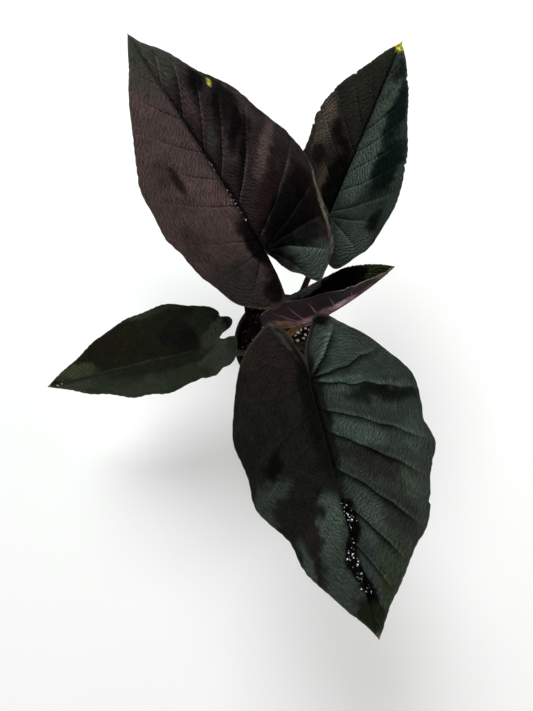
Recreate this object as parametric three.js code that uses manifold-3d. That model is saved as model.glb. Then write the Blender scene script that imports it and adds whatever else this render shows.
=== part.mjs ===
// A velvet-leaved alocasia in a small black nursery pot. Five arrow-shaped leaves stand on bent stalks,
// which grow from one crown in the middle of the pot. Millimetres, +Z up, the middle of the pot's base at
// the origin.
import * as THREE from "three";
import { mergeVertices } from "three/addons/utils/BufferGeometryUtils.js";
import Module from "manifold-3d";

const wasm = await Module();
wasm.setup();

// Pieces that touch keep this gap. Edges shorter than a sliver, which a cut leaves, are closed up.
const gap = 0.3;
const sliver = 0.1;

// The pot: a tapered thin wall, a wider band at the rim with a rounded lip, and drain holes in the floor.
const pot = {
  rimRadius: 38,
  baseRadius: 27,
  height: 66,
  wall: 1.3,
  floor: 1.8,
  bandHeight: 9,
  bandStep: 1.2,
  sides: 48,
  drainHoles: 6,
  drainRadius: 3.2,
  drainRing: 19,
};

// The soil: an uneven top below the rim, with light grains half sunk in it.
const soil = {
  top: 57.5,
  unevenness: 0.9,
  rings: 7,
  grains: 38,
  grainSmallest: 1.0,
  grainLargest: 1.9,
  grainSeed: 71,
};

// The crown: a stub of root stock that is widest at the soil's surface. The stalks stand in sockets in it.
const crown = {
  at: [-2, -1],
  radius: 11.5,
  bottom: 35,
  widest: 55,
  top: 63.5,
  sides: 28,
  stalkRing: 6.8,
  stalkFoot: 52,
};

// A blade's sheet is thickest over its midrib, which stands out below it as a ridge. lobeShare of the rows
// along the margin belong to the lobe. tipCrowding draws the last side veins together towards the tip, and
// veinBend bends each one forward. The sheet bulges fully where the half is fullBulgeWidth wide.
const blade = {
  thickness: 0.9,
  marginThickness: 0.7,
  ridgeDepth: 1.1,
  columns: 6,
  lobeShare: 0.375,
  tipCrowding: 0.32,
  veinBend: 0.55,
  fullBulgeWidth: 30,
};

// The leaves. Each blade is bent out of a flat outline: p runs along the midrib from the stalk to the
// tip, and is negative in the two lobes behind the stalk, and q runs out from the midrib. Angles are in
// degrees. pitch is the midrib's slope at the stalk, droop and lobeDroop are how far it bends on the way
// to the tip and to the lobes' ends. rise is each half's slope beside the midrib, at the lobes' end, at
// the stalk and at the tip, and curl how far it bends over halfWidth. sweep and lobeSweep push the tip
// and the lobes' ends to the left. The stalk leaves the crown on the side stalkSide, or from its middle
// where that is null.
const leaves = {
  back_left: {
    at: [-14, 51, 186],
    heading: 122.5,
    pitch: 4,
    droop: -30,
    lobeDroop: 13,
    roll: 4,
    sweep: -5.5,
    length: 170,
    lobe: 33,
    halfWidth: 60,
    left: {
      rise: [10, 10, 10],
      curl: -20,
      outline: [
        [-3, 0], [-12, 1], [-22, 2], [-32, 5], [-33, 11], [-25, 23], [-17, 31], [-6, 35], [8, 40],
        [22, 42], [33, 45], [49, 44], [64, 43], [80, 37], [108, 26], [142, 11], [170, 0],
      ],
    },
    right: {
      rise: [16, 18, 20],
      curl: -50,
      outline: [
        [-3, 0], [-10, 3], [-18, 6], [-23, 11], [-26, 13], [-32, 18], [-29, 24], [-20, 35], [-8, 41],
        [9, 46], [27, 51], [41, 50], [60, 46.5], [76, 40], [91, 34], [114, 22.5], [136, 13], [156, 4],
        [170, 0],
      ],
    },
    veins: 9,
    pleat: 2.0,
    wave: 1.3,
    waves: 5,
    wavePhase: 0.5,
    rows: 36,
    stalkSide: 155,
    stalkRadius: [2.7, 1.9],
    stalk: [[-15, 5, 80], [-22.5, 11, 108], [-25, 26, 145], [-19.5, 43, 173]],
  },
  back_right: {
    at: [26, 77, 154],
    heading: 67,
    pitch: 6,
    droop: -24,
    lobeDroop: 13,
    roll: -2,
    sweep: 1,
    length: 128,
    lobe: 28,
    halfWidth: 50,
    left: {
      rise: [30, 30, 30],
      curl: -6,
      outline: [
        [-11, 0], [-19, 3], [-25, 8], [-27, 15], [-23, 24], [-12, 30], [4, 33], [24, 33], [39, 33],
        [51, 34], [65, 31], [78, 25.5], [94, 17], [112, 8.5], [128, 0],
      ],
    },
    right: {
      rise: [28, 28, 28],
      curl: -14,
      outline: [
        [-11, 0], [-19, 5], [-25, 10], [-27, 18], [-22, 24], [-17, 27], [-9, 32.5], [4, 36], [14, 37.5],
        [30, 36.5], [48, 32.5], [66, 25.5], [90, 17], [112, 8], [128, 0],
      ],
    },
    veins: 8,
    pleat: 1.6,
    wave: 1.2,
    waves: 6,
    wavePhase: 2,
    rows: 30,
    stalkSide: 90,
    stalkRadius: [2.6, 1.8],
    stalk: [[0, 10, 80], [6, 22, 106], [15, 42, 126], [23.5, 68, 143]],
  },
  young: {
    at: [12, 11.8, 130],
    heading: 20,
    pitch: 42,
    droop: -12,
    lobeDroop: 24,
    roll: 0,
    sweep: 12,
    length: 73,
    lobe: 26,
    halfWidth: 24,
    left: {
      rise: [20, 10, 6],
      curl: -10,
      outline: [
        [-8, 0], [-14, 3], [-21, 8], [-24, 14], [-19, 19], [-6, 20.5], [12, 21], [30, 20.5], [44, 18.5],
        [57, 12.5], [67, 5.5], [73, 0],
      ],
    },
    right: {
      rise: [124, 126, 98],
      curl: 12,
      outline: [
        [-8, 0], [-15, 2], [-23, 6], [-26, 13], [-20, 21], [-6, 25], [12, 24], [30, 20], [44, 15],
        [56, 9], [66, 4], [73, 0],
      ],
    },
    veins: 7,
    pleat: 0.8,
    wave: 0.5,
    waves: 5,
    wavePhase: 1,
    rows: 24,
    stalkSide: null,
    stalkRadius: [3.0, 2.0],
    stalk: [[-2, 0, 80], [1, 3.5, 104], [8.5, 9.8, 119.5]],
  },
  low_left: {
    at: [-60, -6.5, 110],
    heading: 193.5,
    pitch: 6,
    droop: -28,
    lobeDroop: 17,
    lobeSweep: -11,
    roll: 4,
    sweep: -2,
    length: 117,
    lobe: 30,
    halfWidth: 45,
    left: {
      rise: [-34, -34, -34],
      curl: -24,
      outline: [
        [-16, 0], [-20, 3], [-25, 4], [-30, 8], [-31, 16], [-29, 25], [-24, 28], [-18, 28], [-11, 30],
        [-4, 26], [2, 23], [8, 25], [20, 29], [34, 30], [54, 28], [67, 23], [81, 17.5], [101, 7.5],
        [117, 0],
      ],
    },
    right: {
      rise: [4, 4, 4],
      curl: -20,
      outline: [
        [-16, 0], [-21, 3], [-26, 3], [-28, 6], [-26, 10], [-20, 14], [-20, 17], [-15, 23], [-8, 28],
        [-1, 33], [16, 38], [35, 36], [52, 32], [67, 26], [80, 19], [95, 11], [108, 5], [117, 0],
      ],
    },
    veins: 8,
    pleat: 1.0,
    wave: 1.0,
    waves: 6,
    wavePhase: 0,
    rows: 30,
    stalkSide: 225,
    stalkRadius: [2.5, 1.8],
    stalk: [[-14, -7, 70.5], [-30, -7.8, 81.5], [-46, -5.6, 93.5], [-55.5, -5.9, 102.5]],
  },
  front: {
    at: [11, -22.5, 204],
    heading: 284.5,
    pitch: 2,
    droop: -28,
    lobeDroop: 8,
    roll: 0,
    sweep: 3,
    length: 169,
    lobe: 34,
    halfWidth: 60,
    left: {
      rise: [12, 12, 12],
      curl: -26,
      outline: [
        [-13, 0], [-20, 3], [-27, 7], [-34, 12], [-32, 17], [-25, 24], [-16, 35], [-5, 44], [11, 54],
        [25, 56], [37, 55], [50, 57], [65, 52], [79, 48], [96, 41], [112, 30], [127, 20], [148, 9],
        [169, 0],
      ],
    },
    right: {
      rise: [12, 12, 12],
      curl: -26,
      outline: [
        [-13, 0], [-21, 4], [-30, 8], [-35, 14], [-32, 20], [-22, 31], [-9, 39], [10, 46], [24, 49],
        [45, 47], [60, 47], [73, 41], [86, 34], [102, 31], [117, 25], [135, 15], [155, 5], [169, 0],
      ],
    },
    veins: 9,
    pleat: 2.2,
    wave: 1.5,
    waves: 6,
    wavePhase: 1,
    rows: 38,
    stalkSide: 325,
    stalkRadius: [2.8, 2.0],
    stalk: [[7, -3.5, 95], [12, -4.5, 145], [12.5, -13, 182]],
  },
};

const radians = THREE.MathUtils.degToRad;
const lerp = THREE.MathUtils.lerp;
const clamp = THREE.MathUtils.clamp;

// A manifold-3d solid from closed three.js geometry, with its faces turned outwards.
function solidOf(geometry) {
  const bare = new THREE.BufferGeometry();
  bare.setAttribute("position", geometry.getAttribute("position").clone());
  if (geometry.index) bare.setIndex(geometry.index.clone());
  const merged = mergeVertices(bare, 1e-4);
  const corners = merged.index.array;
  const faces = [];
  for (let i = 0; i < corners.length; i += 3) {
    const [a, b, c] = [corners[i], corners[i + 1], corners[i + 2]];
    if (a !== b && b !== c && c !== a) faces.push(a, b, c);
  }
  const build = (order) =>
    new wasm.Manifold(
      new wasm.Mesh({
        numProp: 3,
        vertProperties: new Float32Array(merged.getAttribute("position").array),
        triVerts: new Uint32Array(order),
      }),
    );
  const solid = build(faces);
  return solid.volume() > 0 ? solid : build(faces.reverse());
}

function geometryOf(solid) {
  const mesh = solid.getMesh();
  const geometry = new THREE.BufferGeometry();
  geometry.setAttribute("position", new THREE.BufferAttribute(mesh.vertProperties, 3));
  geometry.setIndex(new THREE.BufferAttribute(mesh.triVerts, 1));
  geometry.computeVertexNormals();
  return geometry;
}

// The largest of the bodies that a cut leaves, without the slivers along the cut.
function largest(solid) {
  const body = solid.decompose().reduce((most, other) => (other.volume() > most.volume() ? other : most));
  return body.asOriginal().simplify(sliver);
}

// A solid of revolution about Z from a profile of [radius, height] points that starts and ends on the axis.
function turned(profile, sides) {
  const points = profile.map(([radius, height]) => new THREE.Vector2(radius, height));
  return new THREE.LatheGeometry(points, sides).rotateX(Math.PI / 2);
}

// A round bar along a curve, thick at its foot and thinner at its end.
function taperedBar(curve, footRadius, endRadius, sides, rings) {
  const frames = curve.computeFrenetFrames(rings, false);
  const points = [];
  const faces = [];
  for (let i = 0; i <= rings; i += 1) {
    const middle = curve.getPointAt(i / rings);
    const radius = lerp(footRadius, endRadius, i / rings);
    for (let j = 0; j < sides; j += 1) {
      const turn = (2 * Math.PI * j) / sides;
      points.push(
        middle
          .clone()
          .addScaledVector(frames.normals[i], radius * Math.cos(turn))
          .addScaledVector(frames.binormals[i], radius * Math.sin(turn)),
      );
      if (i === rings) continue;
      const here = i * sides + j;
      const beside = i * sides + ((j + 1) % sides);
      faces.push(here, beside, beside + sides, here, beside + sides, here + sides);
    }
  }
  for (let j = 1; j < sides - 1; j += 1) {
    const end = rings * sides;
    faces.push(0, j + 1, j, end, end + j, end + j + 1);
  }
  return new THREE.BufferGeometry().setFromPoints(points).setIndex(faces);
}

// Numbers from 0 to 1 that are the same in every run.
function drawFrom(seed) {
  let state = seed;
  return () => {
    state = (state * 16807) % 2147483647;
    return state / 2147483647;
  };
}

// Blades

// How far along and up a walk of s comes that starts at a slope and bends by bend for each millimetre.
function bentWalk(s, slope, bend) {
  if (Math.abs(bend) < 1e-9) return [s * Math.cos(slope), s * Math.sin(slope)];
  const end = slope + bend * s;
  return [(Math.sin(end) - Math.sin(slope)) / bend, (Math.cos(slope) - Math.cos(end)) / bend];
}

// A half's slope beside the midrib at p, between its values at the lobes' end, the stalk and the tip.
function riseAt(leaf, half, p) {
  const [atLobe, atStalk, atTip] = half.rise;
  if (p >= 0) return radians(lerp(atStalk, atTip, Math.min(p / leaf.length, 1)));
  return radians(lerp(atStalk, atLobe, Math.min(-p / leaf.lobe, 1)));
}

// Where the flat point p, q of a half goes, raised by lift from the bent sheet.
function bladePoint(leaf, side, p, q, lift) {
  const half = side > 0 ? leaf.left : leaf.right;
  const bend = p >= 0 ? radians(leaf.droop) / leaf.length : -radians(leaf.lobeDroop) / leaf.lobe;
  const [along, up] = bentWalk(p, radians(leaf.pitch), bend);
  const slope = radians(leaf.pitch) + bend * p;
  const rise = riseAt(leaf, half, p);
  const curl = radians(half.curl) / leaf.halfWidth;
  const [flatOut, flatUp] = bentWalk(q, rise, curl);
  const tilt = rise + curl * q;
  const out = flatOut - lift * Math.sin(tilt);
  const high = flatUp + lift * Math.cos(tilt);
  const swept = p >= 0 ? leaf.sweep * (p / leaf.length) ** 2 : (leaf.lobeSweep ?? 0) * (-p / leaf.lobe);
  return new THREE.Vector3(along - high * Math.sin(slope), side * out + swept, up + high * Math.cos(slope))
    .applyAxisAngle(new THREE.Vector3(1, 0, 0), radians(leaf.roll))
    .applyAxisAngle(new THREE.Vector3(0, 0, 1), radians(leaf.heading))
    .add(new THREE.Vector3(...leaf.at));
}

// Rows of points over one half. Each row follows a side vein: it leaves the midrib, or the stalk's end
// for the rows of the lobe, and bends forward to the margin. Between the veins the sheet bulges, and its
// margin is waved.
function halfRows(leaf, side) {
  const half = side > 0 ? leaf.left : leaf.right;
  const flatPoints = half.outline.map(([p, q]) => new THREE.Vector3(p, q, 0));
  const outline = new THREE.CatmullRomCurve3(flatPoints, false, "centripetal");
  return outline.getSpacedPoints(leaf.rows).map((margin, row) => {
    const t = row / leaf.rows;
    const share = clamp((t - blade.lobeShare) / (1 - blade.lobeShare), 0, 1);
    const root = leaf.length * ((1 - blade.tipCrowding) * share + blade.tipCrowding * share ** 6);
    const room = clamp(margin.y / blade.fullBulgeWidth, 0, 1);
    const bulge = leaf.pleat * room * Math.abs(Math.sin(Math.PI * t * leaf.veins)) ** 0.8;
    const ends = clamp(8 * t, 0, 1) * clamp(6 * (1 - t), 0, 1);
    const ripple = leaf.wave * ends * Math.sin(2 * Math.PI * leaf.waves * t + leaf.wavePhase + side);
    const points = [];
    for (let column = 0; column <= blade.columns; column += 1) {
      const v = column / blade.columns;
      const p = root + (margin.x - root) * ((1 - blade.veinBend) * v + blade.veinBend * v * v);
      const lift = bulge * Math.sin(Math.PI * v ** 0.8) + ripple * v ** 3;
      points.push(bladePoint(leaf, side, p, margin.y * v, lift));
    }
    return points;
  });
}

// The blade's bent sheet as triangles, with the depth of the ridge below each point.
function bladeSheet(leaf) {
  const positions = [];
  const depths = [];
  const put = (point, v, t) => {
    positions.push(point.x, point.y, point.z);
    depths.push(v > 0 ? 0 : blade.ridgeDepth * (1 - t) ** 0.7, v);
  };
  for (const side of [1, -1]) {
    const rows = halfRows(leaf, side);
    for (let i = 0; i < leaf.rows; i += 1) {
      for (let j = 0; j < blade.columns; j += 1) {
        const square = [[i, j], [i + 1, j], [i + 1, j + 1], [i, j + 1]];
        const order = side > 0 ? [0, 3, 2, 0, 2, 1] : [0, 1, 2, 0, 2, 3];
        for (const corner of order) {
          const [row, column] = square[corner];
          const t = clamp((row / leaf.rows - blade.lobeShare) / (1 - blade.lobeShare), 0, 1);
          put(rows[row][column], column / blade.columns, t);
        }
      }
    }
  }
  const sheet = new THREE.BufferGeometry();
  sheet.setAttribute("position", new THREE.Float32BufferAttribute(positions, 3));
  sheet.setAttribute("ridge", new THREE.Float32BufferAttribute(depths, 2));
  return sheet;
}

// A closed solid: the sheet's points moved up and down along their normals, and the two faces joined at
// the margin.
function thickened(leaf, extra) {
  const loose = bladeSheet(leaf);
  const spot = new THREE.BufferGeometry();
  spot.setAttribute("position", loose.getAttribute("position"));
  const sheet = mergeVertices(spot, 1e-4);
  const count = sheet.getAttribute("position").count;
  const ridge = new Array(count).fill(0);
  const outward = new Array(count).fill(0);
  sheet.index.array.forEach((point, i) => {
    ridge[point] = Math.max(ridge[point], loose.getAttribute("ridge").getX(i));
    outward[point] = Math.max(outward[point], loose.getAttribute("ridge").getY(i));
  });
  const triangles = [];
  for (let i = 0; i < sheet.index.count; i += 3) {
    const [a, b, c] = [0, 1, 2].map((k) => sheet.index.getX(i + k));
    if (a !== b && b !== c && c !== a) triangles.push([a, b, c]);
  }
  sheet.setIndex(triangles.flat());
  sheet.computeVertexNormals();
  const position = sheet.getAttribute("position");
  const normal = sheet.getAttribute("normal");
  const points = [];
  for (const way of [1, -1]) {
    for (let i = 0; i < count; i += 1) {
      const half = lerp(blade.thickness, blade.marginThickness, outward[i] ** 2) / 2 + extra;
      const reach = way > 0 ? half : -half - ridge[i];
      const point = new THREE.Vector3().fromBufferAttribute(position, i);
      points.push(point.addScaledVector(new THREE.Vector3().fromBufferAttribute(normal, i), reach));
    }
  }
  const faces = [];
  const edges = new Set(triangles.flatMap(([a, b, c]) => [`${a},${b}`, `${b},${c}`, `${c},${a}`]));
  for (const [a, b, c] of triangles) {
    faces.push(a, b, c, a + count, c + count, b + count);
    for (const [from, to] of [[a, b], [b, c], [c, a]]) {
      if (edges.has(`${to},${from}`)) continue;
      faces.push(from, from + count, to + count, from, to + count, to);
    }
  }
  return new THREE.BufferGeometry().setFromPoints(points).setIndex(faces);
}

// Stalks

// The stalk's foot in the crown, the points that it is led through, and the blade's end of the midrib.
function stalkCurve(leaf) {
  const turn = radians(leaf.stalkSide ?? 0);
  const ring = leaf.stalkSide === null ? 0 : crown.stalkRing;
  const foot = [crown.at[0] + ring * Math.cos(turn), crown.at[1] + ring * Math.sin(turn), crown.stalkFoot];
  const route = [foot, ...leaf.stalk, leaf.at].map((point) => new THREE.Vector3(...point));
  return new THREE.CatmullRomCurve3(route, false, "centripetal");
}

function stalkBar(leaf, extra) {
  const [foot, end] = leaf.stalkRadius;
  return solidOf(taperedBar(stalkCurve(leaf), foot + extra, end + extra, 10, 20));
}

// The stalk stops just below the blade, in the shape of the blade's underside.
function stalkSolid(leaf) {
  return largest(stalkBar(leaf, 0).subtract(solidOf(thickened(leaf, gap))));
}

// Crown, soil and pot

function crownProfile(extra) {
  const { radius, bottom, widest, top } = crown;
  return [
    [0, bottom - extra],
    [0.62 * radius + extra, bottom - extra],
    [0.86 * radius + extra, lerp(bottom, widest, 0.45)],
    [radius + extra, widest],
    [0.97 * radius + extra, lerp(widest, top, 0.4)],
    [0.78 * radius + extra, lerp(widest, top, 0.78)],
    [0.4 * radius, top - 0.4],
    [0, top],
  ];
}

function crownSolid() {
  const body = turned(crownProfile(0), crown.sides).translate(...crown.at, 0);
  const cut = Object.values(leaves).reduce((left, leaf) => {
    const socket = stalkBar(leaf, gap);
    return left.subtract(socket.add(socket.translate(0, 0, -gap)));
  }, solidOf(body));
  return largest(cut);
}

// The radius of the pot's wall at a height, on its outside.
function potRadius(height) {
  const taper = (pot.rimRadius - pot.bandStep - 0.4 - pot.baseRadius) / (pot.height - pot.bandHeight);
  return pot.baseRadius + taper * height;
}

function potSolid() {
  const { rimRadius, baseRadius, height, wall, floor, bandHeight, bandStep } = pot;
  const shoulder = height - bandHeight;
  const profile = [
    [0, 0],
    [baseRadius - 1.6, 0],
    [baseRadius - 0.3, 0.5],
    [potRadius(1.8), 1.8],
    [potRadius(shoulder), shoulder],
    [potRadius(shoulder) + bandStep - 0.2, shoulder + 0.5],
    [rimRadius - 0.5, height - 2],
    [rimRadius, height - 1.3],
    [rimRadius - 0.1, height - 0.4],
    [rimRadius - 0.8, height],
    [rimRadius - wall - 0.3, height - 0.3],
    [potRadius(shoulder) + bandStep - wall, shoulder + 1.6],
    [potRadius(shoulder) - wall, shoulder + 0.6],
    [potRadius(floor) - wall, floor + 0.8],
    [potRadius(floor) - wall - 1, floor],
    [0, floor],
  ];
  let solid = solidOf(turned(profile, pot.sides));
  for (let i = 0; i < pot.drainHoles; i += 1) {
    const turn = (2 * Math.PI * (i + 0.5)) / pot.drainHoles;
    const drill = new THREE.CylinderGeometry(pot.drainRadius, pot.drainRadius, 4 * floor, 14)
      .rotateX(Math.PI / 2)
      .translate(pot.drainRing * Math.cos(turn), pot.drainRing * Math.sin(turn), 0);
    solid = solid.subtract(solidOf(drill));
  }
  return solid;
}

function soilHeight(x, y) {
  const broad = Math.sin(0.21 * x + 0.6) * Math.cos(0.17 * y - 0.4);
  const fine = 0.6 * Math.sin(0.53 * x - 0.37 * y) + 0.4 * Math.cos(0.71 * y + 0.2 * x);
  return soil.top + soil.unevenness * (broad + fine);
}

function soilSolid() {
  const clear = pot.wall + gap;
  const profile = [
    [0, pot.floor + gap],
    [potRadius(pot.floor) - clear - 1.2, pot.floor + gap],
    [potRadius(pot.floor) - clear, pot.floor + 1.4],
    [potRadius(soil.top) - clear - 0.4, soil.top - 2.5],
  ];
  const topRadius = potRadius(soil.top) - clear - 0.6;
  for (let i = 0; i <= soil.rings; i += 1) profile.push([topRadius * (1 - i / soil.rings), soil.top]);
  const body = turned(profile, pot.sides);
  const position = body.getAttribute("position");
  for (let i = 0; i < position.count; i += 1) {
    if (position.getZ(i) < soil.top - 0.1) continue;
    position.setZ(i, soilHeight(position.getX(i), position.getY(i)));
  }
  let solid = solidOf(body);
  const draw = drawFrom(soil.grainSeed);
  for (let i = 0; i < soil.grains; i += 1) {
    const radius = lerp(soil.grainSmallest, soil.grainLargest, draw());
    const reach = lerp(crown.radius + 4, topRadius - 2.5, Math.sqrt(draw()));
    const turn = 2 * Math.PI * draw();
    const [x, y] = [reach * Math.cos(turn), reach * Math.sin(turn)];
    const grain = new THREE.IcosahedronGeometry(radius, 0)
      .rotateX(3 * draw())
      .rotateY(3 * draw())
      .scale(1, 0.85, 0.8)
      .rotateZ(3 * draw())
      .translate(x, y, soilHeight(x, y) + 0.15 * radius);
    solid = solid.add(solidOf(grain));
  }
  const hole = turned(crownProfile(gap), crown.sides).translate(...crown.at, 0);
  return largest(solid.subtract(solidOf(hole)));
}

// Colours and finish

const finish = (color, roughness) => new THREE.MeshStandardMaterial({ color, roughness, metalness: 0 });
const materials = {
  pot: finish("#151515", 0.55),
  soil: finish("#1b130e", 0.95),
  crown: finish("#4a3526", 0.9),
  stalk: finish("#5a4a34", 0.6),
  blade: finish("#1d221d", 0.55),
};

const group = new THREE.Group();

function addPiece(name, solid, material) {
  const mesh = new THREE.Mesh(geometryOf(solid), material);
  mesh.name = name;
  group.add(mesh);
}

addPiece("pot", potSolid(), materials.pot);
addPiece("soil", soilSolid(), materials.soil);
addPiece("crown", crownSolid(), materials.crown);
for (const [name, leaf] of Object.entries(leaves)) {
  addPiece(`stalk_${name}`, stalkSolid(leaf), materials.stalk);
  addPiece(`blade_${name}`, solidOf(thickened(leaf, 0)), materials.blade);
}

export default group;
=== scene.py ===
import math
import random

import bmesh
import bpy
from mathutils import Matrix, Vector, noise


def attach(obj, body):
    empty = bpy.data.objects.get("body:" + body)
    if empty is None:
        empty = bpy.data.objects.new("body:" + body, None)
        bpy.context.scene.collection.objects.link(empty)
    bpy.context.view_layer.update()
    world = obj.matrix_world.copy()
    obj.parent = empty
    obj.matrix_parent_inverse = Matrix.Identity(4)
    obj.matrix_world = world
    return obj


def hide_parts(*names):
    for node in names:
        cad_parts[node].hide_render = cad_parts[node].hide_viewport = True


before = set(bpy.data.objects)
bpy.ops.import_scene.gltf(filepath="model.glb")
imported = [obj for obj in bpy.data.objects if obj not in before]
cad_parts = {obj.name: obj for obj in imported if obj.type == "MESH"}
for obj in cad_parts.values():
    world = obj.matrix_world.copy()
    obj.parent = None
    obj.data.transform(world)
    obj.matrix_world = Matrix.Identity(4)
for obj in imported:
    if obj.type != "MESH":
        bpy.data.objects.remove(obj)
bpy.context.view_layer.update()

MM = 0.001

# The camera looks straight down on the plant from a little over half a metre above the pot's base. Its
# place is in millimetres.
CAMERA_AT = (-12.8, -9.7, 525)


def placed(name, data):
    """A new object of the given data, linked into the scene."""
    made = bpy.data.objects.new(name, data)
    bpy.context.scene.collection.objects.link(made)
    return made


camera_data = bpy.data.cameras.new("camera")
camera_data.lens = 30
camera_data.sensor_width = 36
camera_data.clip_start = 0.01
camera = placed("camera", camera_data)
camera.location = [distance * MM for distance in CAMERA_AT]
bpy.context.scene.camera = camera
bpy.context.scene.view_settings.view_transform = "Standard"

# The stage: a plain pale floor just below the pot. Three broad soft lamps stand behind the plant, to its
# right and in front of it, and the room is dim overhead and pale at its walls, so that flat dark leaves
# mirror little of it. Lengths here are in metres.
FLOOR_HALF, FLOOR_DROP = 3.0, 0.2 * MM
floor_mesh = bpy.data.meshes.new("floor")
floor_shape = bmesh.new()
bmesh.ops.create_grid(floor_shape, x_segments=4, y_segments=4, size=FLOOR_HALF)
bmesh.ops.translate(floor_shape, verts=floor_shape.verts, vec=(0, 0, -FLOOR_DROP))
floor_shape.to_mesh(floor_mesh)
floor_shape.free()
floor = placed("floor", floor_mesh)


def soft_lamp(name, watts, colour, width, place, aim):
    """An area lamp of the given width that stands at place and points at aim."""
    lamp = bpy.data.lights.new(name, "AREA")
    lamp.energy = watts
    lamp.color = colour
    lamp.shape = "DISK"
    lamp.size = width
    made = placed(name, lamp)
    made.location = place
    made.rotation_euler = (Vector(place) - Vector(aim)).to_track_quat("Z", "Y").to_euler()


PLANT_MIDDLE = (-0.03, 0, 0.12)
soft_lamp("window_lamp", 34, (0.97, 1.0, 0.98), 0.8, (-0.25, 1.2, 1.15), PLANT_MIDDLE)
soft_lamp("room_lamp", 9, (1.0, 0.97, 0.95), 0.8, (1.3, -0.5, 0.8), PLANT_MIDDLE)
soft_lamp("front_lamp", 7, (1.0, 1.0, 1.0), 0.7, (-0.7, -1.3, 0.7), PLANT_MIDDLE)


class Tone:
    """A node socket that reads as a number or a colour in Python maths."""

    def __init__(self, finish, socket):
        self.finish = finish
        self.socket = socket

    def maths(self, operation, *others):
        return self.finish.make("ShaderNodeMath", {"operation": operation}, self, *others)

    def __add__(self, other):
        return self.maths("ADD", other)

    def __mul__(self, other):
        return self.maths("MULTIPLY", other)

    __radd__ = __add__
    __rmul__ = __mul__

    def __sub__(self, other):
        return self.maths("SUBTRACT", other)

    def __rsub__(self, other):
        return self.finish.make("ShaderNodeMath", {"operation": "SUBTRACT"}, other, self)

    def fade(self, start, end):
        """0 at start and 1 at end, smooth between, whichever of the two is larger."""
        settings = {"interpolation_type": "SMOOTHSTEP"}
        return self.finish.make("ShaderNodeMapRange", settings, self, start, end, 0.0, 1.0)


class Finish:
    """A material or world whose nodes are added one by one."""

    def __init__(self, name, owner=None):
        self.owner = owner or bpy.data.materials.new(name)
        self.owner.use_nodes = True
        self.tree = self.owner.node_tree

    def make(self, kind, settings=None, *values, out=0, **named):
        """Adds a node: its settings first, then its sockets in order or by name. Gives its output."""
        node = self.tree.nodes.new(kind)
        for key, setting in (settings or {}).items():
            if key == "stops":
                ramp = node.color_ramp.elements
                while len(ramp) < len(setting):
                    ramp.new(1)
                for stop, (place, colour) in zip(ramp, setting):
                    stop.position, stop.color = place, colour
            else:
                setattr(node, key, setting)
        for place, value in enumerate(values):
            self.plug(node.inputs[place], value)
        for key, value in named.items():
            self.plug(node.inputs[key.replace("_", " ")], value)
        return Tone(self, node.outputs[out])

    def plug(self, socket, value):
        if isinstance(value, Tone):
            self.tree.links.new(value.socket, socket)
        else:
            socket.default_value = value

    def mix(self, below, above, share):
        """The colour below, covered by the colour above where share is 1."""
        node = self.make("ShaderNodeMix", {"data_type": "RGBA"}, share).socket.node
        self.plug(node.inputs[6], below)
        self.plug(node.inputs[7], above)
        return Tone(self, node.outputs[2])

    def place(self):
        """The place on the object itself, in metres."""
        return self.make("ShaderNodeTexCoord", out=3)

    def uv(self, name):
        return self.make("ShaderNodeUVMap", {"uv_map": name})

    def stretched(self, where, scale):
        return self.make("ShaderNodeMapping", {}, where, Scale=scale)

    def scaled(self, where, share):
        return self.make("ShaderNodeVectorMath", {"operation": "SCALE"}, where, Scale=share)

    def grain(self, where, scale, detail=3.0, rough=0.55, out=0):
        return self.make("ShaderNodeTexNoise", {}, out=out, Vector=where, Scale=scale,
                         Detail=detail, Roughness=rough)

    def bump(self, height, depth):
        return self.make("ShaderNodeBump", {}, Height=height, Distance=depth, Strength=1.0)

    def body(self, **sockets):
        """Sets the Principled shader's sockets, by name with _ for a space."""
        shader = self.tree.nodes["Principled BSDF"]
        for key, value in sockets.items():
            self.plug(shader.inputs[key.replace("_", " ")], value)
        return self.owner


def light(red, green, blue):
    """A colour as it shows on a screen, 0 to 255, as a linear colour."""
    linear = [
        value / 3294.6 if value <= 10 else ((value / 255 + 0.055) / 1.055) ** 2.4
        for value in (red, green, blue)
    ]
    return (*linear, 1.0)


studio = bpy.data.worlds.new("studio")
bpy.context.scene.world = studio
walls = Finish("studio", studio)
compass = walls.make("ShaderNodeTexCoord", out=0)
height = walls.make("ShaderNodeSeparateXYZ", {}, compass, out=2)
room = walls.mix((0.7, 0.7, 0.7, 1), (0.05, 0.05, 0.05, 1), height.fade(0.2, 0.9))
walls.plug(walls.tree.nodes["Background"].inputs["Color"], room)

pale = Finish("pale_floor")
pale_mottle = pale.grain(pale.place(), 3.0)
floor_mesh.materials.append(pale.body(
    Base_Color=pale.mix((0.8, 0.8, 0.8, 1), (0.84, 0.84, 0.84, 1), pale_mottle),
    Roughness=0.75,
    Specular_IOR_Level=0.2,
))


def mesh_of(name, shape):
    """A mesh in metres from a bmesh in millimetres."""
    bmesh.ops.scale(shape, verts=shape.verts, vec=(MM, MM, MM))
    mesh = bpy.data.meshes.new(name)
    shape.to_mesh(mesh)
    shape.free()
    return mesh


def add_piece(name, shape, finishes, slot, *nodes):
    """Turns a bmesh in millimetres into a smooth object that rides on the plant and stands for CAD nodes."""
    mesh = mesh_of(name, shape)
    for finish in finishes:
        mesh.materials.append(finish)
    mesh.shade_smooth()
    piece = placed(name, mesh)
    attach(piece, "root")
    if nodes:
        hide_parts(*nodes)
    return piece


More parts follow.
